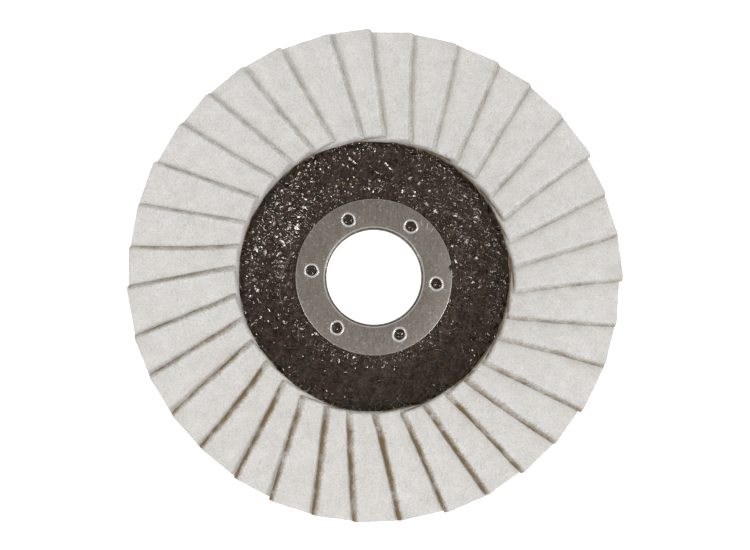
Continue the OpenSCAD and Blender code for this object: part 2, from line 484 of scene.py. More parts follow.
coreLook = {
    "resin": (0.050, 0.031, 0.019, 1),
    "glass": (0.16, 0.125, 0.085, 1),
    "flatten": 4.0,               # the cut strands lie flat, so the pattern is squeezed in height
    "bump": 0.06 * mm,
}


def makeCore():
    # ground edge of the moulded plate, with cut glass ends in it
    material, tree, shader, place = newMaterial("plateCore")
    squeeze = (1.0, 1.0, coreLook["flatten"])
    flattened = addNode(tree, "ShaderNodeMapping", {"Vector": place, "Scale": squeeze}).outputs[0]
    strands = useGroup(tree, fibreGroup, Place=flattened, Per_Metre=1900.0, Curl=0.8)
    cloudy = useGroup(tree, mottleGroup, Place=flattened, Per_Metre=700.0)
    amount = maths(tree, "MULTIPLY", strands["Threads"], remap(tree, cloudy["Tone"], 0.0, 1.0, 0.2, 0.75))
    colour = mixColours(tree, amount, coreLook["resin"], coreLook["glass"])
    tree.links.new(colour, shader.inputs["Base Color"])
    tree.links.new(remap(tree, cloudy["Grain"], 0.3, 0.7, 0.5, 0.85), shader.inputs["Roughness"])
    addBump(tree, shader, strands["Height"], coreLook["bump"], 0.7)
    return material


steelLook = {
    "steel": (0.475, 0.42, 0.365, 1),
    "soiled": (0.27, 0.235, 0.20, 1),
    "highlightAndScuff": (0.82, 0.80, 0.76, 1),
    "grimeAndShadeTone": (0.07, 0.055, 0.042, 1),
    "fleck": (0.20, 0.16, 0.12, 1),
    "fleckSize": 0.5 * mm,
    "scratches": (                # start, heading and length of each
        ((0.0113, 0.0120, 0), (-0.30, 0.954, 0), 1.1 * mm),
        ((0.0124, 0.0112, 0), (0.12, 0.993, 0), 1.3 * mm),
        ((0.0133, 0.0106, 0), (0.64, 0.768, 0), 1.0 * mm),
    ),
    "scratchWidth": 0.16 * mm,
    "edgeBand": 0.28 * mm,        # width of the painted highlight on the flange's edge
    "rollBand": 0.22 * mm,        # of the one on the roll into the bore
    "boreBand": 0.42 * mm,        # and of the painted shade line inside the bore
    "ringBand": 0.3 * mm,
    "roughness": 0.34,
    "bump": 0.02 * mm,
}


def makeSteel(name, highlightRadii, shadedRadii, grime, scratches=()):
    # tumbled sheet steel, darker where it is soiled, brighter on scratches and on painted highlights and
    # glints
    material, tree, shader, place = newMaterial(name)
    cloudy = useGroup(tree, mottleGroup, Place=place, Per_Metre=260.0)
    grit = useGroup(tree, mottleGroup, Place=place, Per_Metre=2400.0)
    scuffs = useGroup(tree, fibreGroup, Place=place, Per_Metre=1300.0, Curl=0.25)

    # soil, dark specks, and a dark line painted inside the bore as shade
    soil = maths(tree, "MULTIPLY", maths(tree, "MULTIPLY_ADD", grit["Tone"], 1.3, cloudy["Tone"]), grime)
    base = mixColours(tree, soil, steelLook["steel"], steelLook["soiled"])
    speckle = noise(tree, place, steelLook["fleckSize"], 1.0, 0.5)
    base = mixColours(tree, remap(tree, speckle, 0.64, 0.74, 0.0, 0.55), base, steelLook["fleck"])
    for radius, width in shadedRadii:
        band = useGroup(tree, ringGroup, Place=place, Radius=radius, Width=width)["Mask"]
        base = mixColours(tree, maths(tree, "MULTIPLY", band, 0.9), base, steelLook["grimeAndShadeTone"])

    # painted glints as bright specks, real hairlines and scratches, and painted highlights on the rims and
    # the crimp beads
    glitter = remap(tree, speckle, 0.37, 0.25, 0.0, 0.45)
    hairlines = remap(tree, scuffs["Threads"], 0.80, 1.0, 0.0, 0.11)
    scuffedAndHighlit = addNode(tree, "ShaderNodeAttribute", attribute_name="scuffedAndHighlit").outputs["Fac"]
    scuffedAndHighlit = maths(tree, "MAXIMUM", scuffedAndHighlit, maths(tree, "ADD", glitter, hairlines))
    for radius, width in highlightRadii:
        band = useGroup(tree, ringGroup, Place=place, Radius=radius, Width=width)["Mask"]
        scuffedAndHighlit = maths(tree, "MAXIMUM", scuffedAndHighlit, maths(tree, "MULTIPLY", band, 0.75))
    for begin, heading, length in scratches:
        stroke = useGroup(tree, strokeGroup, Place=place, Start=begin, Heading=heading, Length=length,
                          Width=steelLook["scratchWidth"])["Mask"]
        scuffedAndHighlit = maths(tree, "MAXIMUM", scuffedAndHighlit, maths(tree, "MULTIPLY", stroke, 0.7))
    tree.links.new(mixColours(tree, scuffedAndHighlit, base, steelLook["highlightAndScuff"]), shader.inputs["Base Color"])

    # the steel is made less metallic where highlights are painted and on hairlines and scratches, so that
    # they show bright
    tree.links.new(remap(tree, scuffedAndHighlit, 0.0, 1.0, 1.0, 0.5), shader.inputs["Metallic"])
    rough = maths(tree, "MULTIPLY_ADD", cloudy["Tone"], 0.10, steelLook["roughness"])
    rougher = maths(tree, "MULTIPLY_ADD", scuffs["Threads"], 0.06, rough)
    tree.links.new(maths(tree, "MULTIPLY_ADD", scuffedAndHighlit, -0.16, rougher), shader.inputs["Roughness"])
    height = maths(tree, "MULTIPLY_ADD", grit["Tone"], 0.9, maths(tree, "MULTIPLY", scuffs["Height"], -0.25))
    addBump(tree, shader, height, steelLook["bump"], 0.6)
    return material


adhesiveLook = {
    "amber": (0.15, 0.10, 0.05, 1),
    "thin": (0.33, 0.265, 0.17, 1),
    "coat": 0.3,
    "bump": 0.08 * mm,
}


def makeAmberAdhesive():
    material, tree, shader, place = newMaterial("amberAdhesive")
    cloudy = useGroup(tree, mottleGroup, Place=place, Per_Metre=420.0)
    colour = mixColours(tree, cloudy["Tone"], adhesiveLook["amber"], adhesiveLook["thin"])
    tree.links.new(colour, shader.inputs["Base Color"])
    tree.links.new(remap(tree, cloudy["Grain"], 0.3, 0.7, 0.18, 0.42), shader.inputs["Roughness"])
    shader.inputs["Coat Weight"].default_value = adhesiveLook["coat"]
    addBump(tree, shader, cloudy["Grain"], adhesiveLook["bump"], 0.5)
    return material


paperLook = {
    "paper": (0.66, 0.63, 0.56, 1),
    "stained": (0.50, 0.455, 0.375, 1),
    "band": (0.16, 0.20, 0.25, 1),
    "bump": 0.03 * mm,
}


def makePaper(bandRadius, bandWidth):
    # uncoated paper with one plain printed border and no lettering
    material, tree, shader, place = newMaterial("labelPaper")
    cloudy = useGroup(tree, mottleGroup, Place=place, Per_Metre=110.0)
    fibres = useGroup(tree, fibreGroup, Place=place, Per_Metre=2600.0, Curl=1.0)
    tone = maths(tree, "MULTIPLY_ADD", fibres["Height"], 0.25, maths(tree, "MULTIPLY", cloudy["Tone"], 0.5))
    base = mixColours(tree, tone, paperLook["paper"], paperLook["stained"])
    band = useGroup(tree, ringGroup, Place=place, Radius=bandRadius, Width=bandWidth)["Mask"]
    worn = maths(tree, "MULTIPLY", remap(tree, band, 0.05, 0.15, 0.0, 1.0),
                 remap(tree, cloudy["Grain"], 0.3, 0.5, 0.6, 1.0))
    tree.links.new(mixColours(tree, worn, base, paperLook["band"]), shader.inputs["Base Color"])
    tree.links.new(remap(tree, cloudy["Grain"], 0.3, 0.7, 0.7, 0.9), shader.inputs["Roughness"])
    addBump(tree, shader, fibres["Height"], paperLook["bump"], 0.6)
    return material


felt = makeFelt()
frontCloth = makeCloth("frontCloth", dustAmount=0.15, pitGloss=0.09, threadGloss=0.20,
                       scratchStart=(-0.0222, -0.0005, 0))
rearCloth = makeCloth("rearCloth", dustAmount=0.5, pitGloss=0.22, threadGloss=0.45)
core = makeCore()
# painted highlights on the flange's edge and on the roll into the bore, and a painted shade line inside the
# bore
highlightRims = [(bushRadius, steelLook["edgeBand"]), (boreRadius + 0.62 * mm, steelLook["rollBand"])]
boreShadeLines = [(boreRadius + 0.1 * mm, steelLook["boreBand"])]
bushSteel = makeSteel("bushSteel", highlightRims, boreShadeLines, grime=0.5, scratches=steelLook["scratches"])
# the rear ring gets a painted highlight along its outer edge
ringSteel = makeSteel("ringSteel", [(ringRadius, steelLook["ringBand"])], [], grime=0.8)
adhesive = makeAmberAdhesive()
print("materials ready")


plateShape = {
    "flatRadius": 20.3 * mm,      # end of the hub's flat
    "slopeRadius": 31.0 * mm,     # end of the slope up to the flange
    "slopeGap": 1.2 * mm,         # between rows where nothing shows
    "innerRadius": boreRadius + 0.6 * mm,
    "plyThickness": 0.35 * mm,
    "rimEase": 0.2 * mm,
    "underSteel": 0.6 * mm,       # the close rows start this far under the steel
    "pitDepth": 0.19 * mm,
    "mostRaised": 0.08 * mm,
    "mostSunken": 0.32 * mm,
    "facetSize": 0.95 * mm,
    "facetSlope": 0.28,
    "front": {"side": 1, "fineEnd": 33.4 * mm, "steps": 900, "rowGap": 0.19 * mm, "depthShare": 1.0},
    "rear": {"side": -1, "fineEnd": 33.6 * mm, "steps": 640, "rowGap": 0.26 * mm, "depthShare": 0.6},
}
clothShape = {
    "wander": 0.11,               # how far a row strays, in rows
    "wanderSize": 9 * mm,
    "halfWidthU": 0.31,           # half of a thread's width, in rows
    "halfWidthV": 0.27,
    "mean": 0.74,                 # a thread's height halfway between over and under
    "sway": 0.26,                 # and how far it swings from there
    "lowerPly": 0.55,             # height of the second ply that shows in the gaps
}
hubDrop = plateTopZ - hubFrontZ


def lift(r):
    # height of the pressed plate above its hub
    run = (r - plateShape["flatRadius"]) / (plateShape["slopeRadius"] - plateShape["flatRadius"])
    return hubDrop * (1 - np.cos(math.pi * np.clip(run, 0, 1))) / 2


def openCloth(x, y, shiftU, shiftV):
    # open glass cloth: flat threads over and under each other, 0 in the gaps between them and 1 on a crown
    turn = math.radians(clothLook["turnDeg"])
    wanderU = clothShape["wander"] * ripple(x, y, clothShape["wanderSize"], 71, 2)
    wanderV = clothShape["wander"] * ripple(x, y, clothShape["wanderSize"], 72, 2)
    u = (x * math.cos(turn) + y * math.sin(turn)) / clothLook["pitchU"] + shiftU + wanderU
    v = (-x * math.sin(turn) + y * math.cos(turn)) / clothLook["pitchV"] + shiftV + wanderV
    rowU, rowV = np.round(u), np.round(v)
    swap = 1 - 2 * ((rowU + rowV) % 2)
    offU, offV = np.abs(u - rowU), np.abs(v - rowV)
    crownU = np.sqrt(np.clip(1 - (offU / clothShape["halfWidthU"]) ** 2, 0, 1))
    crownV = np.sqrt(np.clip(1 - (offV / clothShape["halfWidthV"]) ** 2, 0, 1))
    mean, sway = clothShape["mean"], clothShape["sway"]
    highU = crownU * (mean + sway * swap * np.cos(math.pi * offV))
    highV = crownV * (mean - sway * swap * np.cos(math.pi * offU))
    return np.maximum(highU, highV)


def facets(x, y, cell, seed):
    # small flat faces of random tilt, as cured resin has where it drew back into the cloth
    pick = np.random.default_rng(seed)
    count = int(2.4 * plateRadius / cell)
    jitter = pick.uniform(-0.42, 0.42, (count, count, 2))
    slopes = pick.normal(0, 1, (count, count, 2))
    column = np.floor(x / cell + count / 2).astype(int)
    row = np.floor(y / cell + count / 2).astype(int)
    nearest = np.full_like(x, 1e9)
    height = np.zeros_like(x)
    for i in (-1, 0, 1):
        for j in (-1, 0, 1):
            c, w = column + i, row + j
            dx = x / cell - (c - count / 2 + 0.5 + jitter[c, w, 0])
            dy = y / cell - (w - count / 2 + 0.5 + jitter[c, w, 1])
            distance = dx * dx + dy * dy
            closer = distance < nearest
            nearest = np.where(closer, distance, nearest)
            height = np.where(closer, dx * slopes[c, w, 0] + dy * slopes[c, w, 1], height)
    return height * cell


def evenly(low, high, gap):
    count = max(1, round((high - low) / gap))
    return [low + (high - low) * i / count for i in range(count + 1)]


slopeRadii = evenly(plateShape["flatRadius"], plateShape["slopeRadius"], plateShape["slopeGap"])


def pressPly(name, lowZ, fineLow, make):
    # one ply, with close rows on the side and over the band that shows
    side, fineHigh, thickness = make["side"], make["fineEnd"], plateShape["plyThickness"]
    inner, outer = plateShape["innerRadius"], plateRadius
    last = outer - plateShape["rimEase"]
    coarse = [inner] + slopeRadii + [last]
    fine = [inner] + evenly(fineLow, fineHigh, make["rowGap"]) + [last]
    lowRadii, highRadii = (coarse, fine) if side > 0 else (fine, coarse)
    low = [(r, lowZ + float(lift(r))) for r in lowRadii]
    high = [(r, lowZ + thickness + float(lift(r))) for r in reversed(highRadii)]
    rim = [(outer, lowZ + hubDrop + thickness * share) for share in (0.3, 0.7)]
    piece = spinOutline(name, low + rim + high, make["steps"])

    # the cloth and the facets of resin sink into the side that shows
    points = readPoints(piece)
    x, y, z = points.T
    r = np.hypot(x, y)
    middle = lowZ + thickness / 2 + lift(r)
    shown = (z - middle) * side > 0
    band = smooth(fineLow, fineLow + 0.4 * mm, r) * smooth(fineHigh, fineHigh - 0.4 * mm, r)
    top = openCloth(x, y, 0.15, 0.3)
    under = openCloth(x, y, 0.62, 0.78) * clothShape["lowerPly"]
    level = np.maximum(top, under) + 0.22 * ripple(x, y, 1.9 * mm, 23, 2)
    tilted = plateShape["facetSlope"] * facets(x, y, plateShape["facetSize"], 61)
    tilted = tilted * (1 - 0.45 * smooth(0.4, 0.9, top))          # flatter on the crowns
    relief = plateShape["pitDepth"] * (1 - level) - tilted
    sink = np.clip(relief, -plateShape["mostRaised"], plateShape["mostSunken"]) * band * make["depthShare"]
    points[:, 2] = z - side * np.where(shown, sink, 0)
    writePoints(piece, points)
    paintPoints(piece, "thread", smooth(0.2, 0.75, top))
    return piece


plyT = plateShape["plyThickness"]
frontPly = pressPly("frontGlassPly", hubFrontZ - plyT, bushRadius - plateShape["underSteel"],
                    plateShape["front"])
finishPiece(frontPly, frontCloth, "glass_cloth_front", "front_glass_ply", smoothDeg=60)

rearPly = pressPly("rearGlassPly", hubRearZ, ringRadius - plateShape["underSteel"], plateShape["rear"])
finishPiece(rearPly, rearCloth, "glass_cloth_rear", "rear_glass_ply", smoothDeg=60)

coreShape = {
    "rimEase": 0.1 * mm,
    "rimRows": 6,
    "steps": 480,
    "raggedDepth": 0.06 * mm,     # of the ground edge
    "raggedSize": 1.1 * mm,
}


def makeCorePly():
    # the moulded core, with a slightly ragged edge where it was ground
    inner, outer = plateShape["innerRadius"], plateRadius
    lowZ, highZ = hubRearZ + plyT, hubFrontZ - plyT
    rows, depth = coreShape["rimRows"], coreShape["raggedDepth"]
    radii = [inner] + slopeRadii + [outer - coreShape["rimEase"]]
    low = [(r, lowZ + float(lift(r))) for r in radii]
    high = [(r, highZ + float(lift(r))) for r in reversed(radii)]
    rim = [(outer, lowZ + hubDrop + (highZ - lowZ) * i / rows) for i in range(rows + 1)]
    piece = spinOutline("coreDisc", low + rim + high, coreShape["steps"])
    points = readPoints(piece)
    x, y, z = points.T
    turn = np.arctan2(y, x) * plateRadius
    onRim = np.hypot(x, y) > outer - 1.5 * coreShape["rimEase"]
    ragged = depth * ripple(turn, z, coreShape["raggedSize"], 5) * onRim
    points[:, :2] *= (1 - (depth + ragged) / plateRadius)[:, None]
    writePoints(piece, points)
    return piece


finishPiece(makeCorePly(), core, "plate_core", "core_ply")
print("plate pressed")


bushShape = {
    "sheet": 0.6 * mm,
    "edgeRadius": 0.16 * mm,
    "footEase": 0.05 * mm,
    "lipEase": 0.08 * mm,
    "crimpCount": 6,
    "crimpCircle": 14.7 * mm,
    "crimpStartDeg": 36,
    "crimpInside": 1.22 * mm,
    "crimpBead": 0.31 * mm,
    "crimpRise": 0.26 * mm,
    "crimpDepth": 1.0 * mm,       # how far a burr reaches into the plate
    "crimpOval": 0.035,
    "crimpLean": 0.035 * mm,
}


def makeBushBody():
    # flange on the front, rolled over into the collar that lines the bore
    sheet, edge = bushShape["sheet"], bushShape["edgeRadius"]
    footEase, lipEase = bushShape["footEase"], bushShape["lipEase"]
    lowZ, topZ, outside = hubFrontZ, bushTopZ, boreRadius + sheet
    roll = arc(outside, topZ - sheet, sheet, 180, 90, 10)
    outer = arc(bushRadius - edge, topZ - edge, edge, 90, 0, 5)
    foot = [(bushRadius, lowZ + footEase), (bushRadius - footEase, lowZ)]
    collar = [(outside, lowZ), (outside, seatZ + lipEase)]
    lip = [(outside - lipEase, seatZ), (boreRadius + lipEase, seatZ), (boreRadius, seatZ + lipEase)]
    return spinOutline("steelBush", lip + roll + outer + foot + collar, 360)


def crimpPlace(k):
    angle = math.radians(bushShape["crimpStartDeg"] + k * 360 / bushShape["crimpCount"])
    return Vector((math.sin(angle), math.cos(angle), 0)) * bushShape["crimpCircle"]


def cutCrimpHoles(body):
    # one cutter for each crimp, taken out of the flange
    for k in range(bushShape["crimpCount"]):
        place = crimpPlace(k)
        isolate(None)
        bpy.ops.mesh.primitive_cylinder_add(
            vertices=64, radius=bushShape["crimpInside"] + bushShape["crimpBead"], depth=3 * mm,
            location=(place.x, place.y, bushTopZ),
        )
        cutter = bpy.context.object
        isolate(body)
        cut = body.modifiers.new("crimpHole", "BOOLEAN")
        cut.operation = "DIFFERENCE"
        cut.solver = "EXACT"
        cut.object = cutter
        bpy.ops.object.modifier_apply(modifier=cut.name)
        bpy.data.objects.remove(cutter)


def makeCrimp(k, dice):
    # a burr turned down through the flange, with a rubbed bead round its mouth, its top painted brighter as
    # a highlight
    inside, bead, rise = bushShape["crimpInside"], bushShape["crimpBead"], bushShape["crimpRise"]
    bead *= dice.uniform(0.92, 1.1)
    topZ = bushTopZ + rise * dice.uniform(0.8, 1.2)
    rootZ = hubFrontZ - bushShape["crimpDepth"]
    outline = arc(inside + bead, topZ - bead, bead, 180, 0, 8)
    outline += [(inside + 2 * bead, bushTopZ - 0.3 * mm), (inside + bead, bushTopZ - 0.5 * mm)]
    outline += [(inside + 0.9 * bead, rootZ), (inside + 0.1 * bead, rootZ)]
    crimp = spinOutline("crimp", outline, 48)
    points = readPoints(crimp)
    angle = np.arctan2(points[:, 1], points[:, 0])
    lobe = dice.uniform(0, fullTurn)
    swell = 1 + bushShape["crimpOval"] * np.cos(2 * angle + lobe) + 0.015 * np.cos(5 * angle + 2 * lobe)
    points[:, :2] *= swell[:, None]
    points[:, 2] += bushShape["crimpLean"] * np.cos(angle - lobe) * (points[:, 2] > bushTopZ - 0.2 * mm)
    place = crimpPlace(k)
    points += (place.x, place.y, 0)
    writePoints(crimp, points)
    paintPoints(crimp, "scuffedAndHighlit", points[:, 2] > bushTopZ - 0.1 * mm)
    return crimp


bush = makeBushBody()
cutCrimpHoles(bush)
crimpDice = random.Random(8)
joinPieces(bush, [makeCrimp(k, crimpDice) for k in range(bushShape["crimpCount"])])
finishPiece(bush, bushSteel, "bush_steel", "front_bush", smoothDeg=40)

ringShape = {"edgeRadius": 0.12 * mm, "inner": boreRadius + bushShape["sheet"], "steps": 300}


def makeRing():
    edge, inner = ringShape["edgeRadius"], ringShape["inner"]
    outline = arc(ringRadius - edge, seatZ + edge, edge, -90, 0, 4)
    outline += arc(ringRadius - edge, ringTopZ - edge, edge, 0, 90, 4)
    outline += [(inner, ringTopZ), (inner, seatZ + edge), (inner + edge, seatZ)]
    return spinOutline("rearRing", outline, ringShape["steps"])


finishPiece(makeRing(), ringSteel, "ring_steel", "rear_ring")
print("steel parts made")


crimpResinShape = {
    "radiusShare": 1.04,          # a drop's radius beside the crimp's inside
    "flatness": (0.22, 0.34),
    "ripple": 0.12 * mm,
    "rippleSize": 1.0 * mm,
    "spotRadius": 0.62 * mm,      # one spilt drop on the flange's edge
    "spotReach": 18.1 * mm,
    "spotDeg": 83,                # clockwise from +Y
    "spotSink": 0.12 * mm,
    "spotScale": (0.8, 1.25, 0.42),
}


def addDrop(segments, rings, radius, place, scale):
    # one flattened drop, with its place and shape in its mesh
    isolate(None)
    bpy.ops.mesh.primitive_uv_sphere_add(segments=segments, ring_count=rings, radius=radius, location=place)
    drop = bpy.context.object
    bpy.ops.transform.resize(value=scale)
    bpy.ops.object.transform_apply(location=True, rotation=True, scale=True)
    return drop


def makeCrimpResin():
    # dark resin that rose into each crimp while the plate was pressed
    dice = random.Random(31)
    drops = []
    for k in range(bushShape["crimpCount"]):
        place = crimpPlace(k)
        radius = bushShape["crimpInside"] * crimpResinShape["radiusShare"]
        flat = dice.uniform(*crimpResinShape["flatness"])
        drop = addDrop(32, 16, radius, (place.x, place.y, hubFrontZ), (1, 1, flat))
        points = readPoints(drop)
        x, y, z = points.T
        bumps = ripple(x, y, crimpResinShape["rippleSize"], 50 + k) * (z > hubFrontZ)
        points[:, 2] += crimpResinShape["ripple"] * bumps
        writePoints(drop, points)
        drops.append(drop)
    turn, reach = math.radians(crimpResinShape["spotDeg"]), crimpResinShape["spotReach"]
    place = (reach * math.sin(turn), reach * math.cos(turn), bushTopZ - crimpResinShape["spotSink"])
    drops.append(addDrop(28, 14, crimpResinShape["spotRadius"], place, crimpResinShape["spotScale"]))
    resin = joinPieces(drops[0], drops[1:])
    resin.name = "crimpResin"
    return resin


finishPiece(makeCrimpResin(), frontCloth, "glass_cloth_front", smoothDeg=60)

bedShape = {
    "innerRadius": 31.52 * mm,
    "outerRadius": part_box("adhesive_bed")[1].x,
    "topZ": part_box("adhesive_bed")[1].z,
    "innerTopZ": plateTopZ + 0.4 * mm,
    "beadRadius": 0.45 * mm,
    "rimRadius": 0.5 * mm,
    "firstRow": 33.2 * mm,
    "rowGap": 3 * mm,
    "steps": 540,
    "wander": 0.22 * mm,          # how unevenly the bead was squeezed out
    "fineWander": 0.10 * mm,
    "runs": 0.25 * mm,            # and how unevenly the outer edge ran
    "rimInset": 0.3 * mm,
    "swell": 0.12 * mm,
}


def makeAdhesive():
    # a bed that thickens outwards, with a bead squeezed out along the inner ends of the flaps
    inner, outer = bedShape["innerRadius"], bedShape["outerRadius"]
    innerTopZ, topZ = bedShape["innerTopZ"], bedShape["topZ"]
    beadRadius, rimRadius = bedShape["beadRadius"], bedShape["rimRadius"]
    foot = [(outer - 0.1 * mm, plateTopZ - 0.02 * mm), (inner + 0.1 * mm, plateTopZ - 0.04 * mm)]
    bead = arc(inner + beadRadius, plateTopZ + 0.1 * mm, beadRadius, 190, 70, 7)
    rows = evenly(bedShape["firstRow"], outer - rimRadius, bedShape["rowGap"])
    rise = [(r, innerTopZ + (topZ - innerTopZ) * (r - inner) / (outer - inner)) for r in rows]
    rim = arc(outer - rimRadius, topZ - rimRadius, rimRadius, 80, 0, 4)
    piece = spinOutline("adhesiveBed", foot + bead + rise + rim, bedShape["steps"])
    points = readPoints(piece)
    x, y, z = points.T
    r = np.hypot(x, y)
    turn = np.arctan2(y, x)
    nearInner = 1 - smooth(32.4 * mm, 33.6 * mm, r)
    nearOuter = smooth(outer - 1.2 * mm, outer, r)
    wander = bedShape["wander"] * ripple(turn * inner, turn * 0, 6 * mm, 3)
    wander = wander + bedShape["fineWander"] * ripple(turn * inner, turn * 0, 2 * mm, 4)
    runs = bedShape["runs"] * ripple(turn * outer, turn * 0, 4 * mm, 7)
    points[:, :2] *= (1 + (wander * nearInner + (runs - bedShape["rimInset"]) * nearOuter) / r)[:, None]
    swell = bedShape["swell"] * ripple(turn * inner, turn * 0, 3.1 * mm, 9) * nearInner
    points[:, 2] += np.where(z > plateTopZ, swell, 0)
    writePoints(piece, points)
    return piece


finishPiece(makeAdhesive(), adhesive, "adhesive", "adhesive_bed", smoothDeg=60)

labelLow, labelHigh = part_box("rear_label")
labelShape = {
    "inner": 32.5 * mm,
    "outer": labelHigh.x,
    "bandRadius": 47.6 * mm,
    "bandWidth": 1.2 * mm,
    "rowGap": 0.45 * mm,
    "steps": 540,
    "wrinkle": 0.03 * mm,
    "curl": 0.04 * mm,
    "pressedDepth": 0.07 * mm,    # how far the cloth shows through
    "edgeWander": 0.12 * mm,
}


def makeLabel():
    # thin paper pressed onto the rear cloth, so that the weave shows through it
    inner, outer = labelShape["inner"], labelShape["outer"]
    low = [(r, labelLow.z) for r in evenly(inner, outer, labelShape["rowGap"])]
    high = [(outer, labelHigh.z), (inner, labelHigh.z)]
    piece = spinOutline("rearLabel", low + high, labelShape["steps"])
    points = readPoints(piece)
    x, y, z = points.T
    r = np.hypot(x, y)
    turn = np.arctan2(y, x)
    under = z < (labelLow.z + labelHigh.z) / 2
    wrinkle = labelShape["wrinkle"] * ripple(x, y, 7 * mm, 17)
    wrinkle = wrinkle + labelShape["curl"] * smooth(outer - 2 * mm, outer, r)
    inwards = 1 - smooth(outer - 1.5 * mm, outer, r)
    pressed = labelShape["pressedDepth"] * (1 - openCloth(x, y, 0.4, 0.1)) * inwards
    points[:, 2] += np.where(under, pressed - np.abs(wrinkle), 0)
    nearEdge = smooth(outer - 1 * mm, outer, r)
    edge = labelShape["edgeWander"] * ripple(turn * outer, turn * 0, 9 * mm, 19) * nearEdge
    points[:, :2] *= (1 + edge / r)[:, None]
    writePoints(piece, points)
    return piece


labelPaper = makePaper(labelShape["bandRadius"], labelShape["bandWidth"])
finishPiece(makeLabel(), labelPaper, "label_paper", "rear_label")
print("adhesive and label made")


flapShape = {
    "count": 35,
    "width": 14 * mm,
    "length": 25.2 * mm,
    "innerEnd": 31.8 * mm,        # from the axis to the inner end
    "edgeOffset": 6.3 * mm,       # the upper edge passes this far beside the axis
    "step": 3 * mm,               # climb from one flap to the next
    "pressedGap": 0.12 * mm,
    "faceDrop": 2 * mm,
    "startDeg": -8.1,
    "cellsAcross": 38,
    "cellsAlong": 64,
    "layers": 5,
    "crowd": 0.45,                # how much closer the rows stand near the edges
    "cornerRadius": 0.22 * mm,
    "innerRoundOver": 0.55 * mm,
    "edgeRoundOver": 0.22 * mm,
    "undersideRound": 0.3 * mm,
    "hiddenTrim": 1.0 * mm,       # taken off the outer corner that the neighbour hides
    "cutWaver": 0.08 * mm,        # how far a cut edge wanders, and its finer part
    "fineWaver": 0.05 * mm,
    "bow": 0.22 * mm,
    "fineBow": 0.10 * mm,
    "leastSlant": 0.16,           # of the long cut, in mm through the thickness
    "mostSlant": 0.40,            # added on the side where the cuts slant most
    "slantDeg": 182,              # where that side is, clockwise from +Y
    "endSlant": (0.20, 0.46),
    "lumps": 0.05 * mm,
    "fineLumps": 0.022 * mm,
    "unevenDeg": 0.42,            # how far the placing of a flap strays
    "mostUnevenDeg": 0.9,
    "unevenLength": 0.20 * mm,
    "unevenTurnDeg": 0.55,
    "cornerLift": 0.22 * mm,
    "seepageAndShadeDeg": 100,            # the side where the inner ends are painted darkest, as shade with the adhesive they soaked up
    "faceFibres": 170,
    "edgeFibres": 100,
    "endFibres": 22,
    "fibreRadius": 0.018 * mm,
    "fibreLength": (0.5, 1.5),
    "fibreScatter": 0.12 * mm,
    "fibreSink": 0.02 * mm,
}
pitchAngle = fullTurn / flapShape["count"]
riseRate = flapShape["step"] / pitchAngle


def faceHeight(r):
    # fall of the felt face from its inner circle
    return -flapShape["faceDrop"] * (r - flapShape["innerEnd"]) / flapShape["length"]


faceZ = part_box("flap_01")[1].z - faceHeight(math.hypot(flapShape["edgeOffset"], flapShape["innerEnd"]))


def upperHeight(x, y):
    # height of a flap's upper surface, with the flap's own middle line along +Y
    r = np.hypot(x, y)
    return faceZ + faceHeight(r) + riseRate * (np.arctan2(x, y) - np.arcsin(flapShape["edgeOffset"] / r))


def squareTo(x, y):
    # unit normals of the stacked surface
    d = 0.02 * mm
    slopeX = (upperHeight(x + d, y) - upperHeight(x - d, y)) / (2 * d)
    slopeY = (upperHeight(x, y + d) - upperHeight(x, y - d)) / (2 * d)
    normals = np.stack([-slopeX, -slopeY, np.ones_like(x)], axis=1)
    return normals / np.linalg.norm(normals, axis=1)[:, None]


def makeFlatPad():
    # a flat rectangle of felt: a grid pulled up through its thickness one layer at a time
    isolate(None)
    bpy.ops.mesh.primitive_grid_add(
        x_subdivisions=flapShape["cellsAcross"], y_subdivisions=flapShape["cellsAlong"], size=2,
    )
    pad = bpy.context.object
    pad.name = "feltPad"
    bpy.ops.object.mode_set(mode="EDIT")
    bpy.ops.mesh.select_all(action="SELECT")
    for layer in range(flapShape["layers"]):
        bpy.ops.mesh.extrude_region_move(TRANSFORM_OT_translate={"value": (0, 0, 1 / flapShape["layers"])})
    bpy.ops.mesh.select_all(action="SELECT")
    bpy.ops.mesh.normals_make_consistent(inside=False)
    bpy.ops.object.mode_set(mode="OBJECT")
    return pad


def roundOver(distance, radius):
    # how far a rounded edge falls at this distance from it
    inside = np.clip(radius - distance, 0, radius)
    return radius - np.sqrt(np.maximum(radius * radius - inside * inside, 0))


strandShape = {
    "rings": 5,
    "sides": 3,
    "arch": 0.10,                 # rise of a fibre's middle, beside its length
    "taper": 0.75,
}


def alongSurface(lifts, turn):
    # unit headings at these turns, laid flat on the surface that lifts is square to
    flat = np.stack([np.cos(turn), np.sin(turn), np.zeros_like(turn)], axis=1)
    headings = flat - lifts * np.sum(flat * lifts, axis=1)[:, None]
    return headings / np.linalg.norm(headings, axis=1)[:, None]


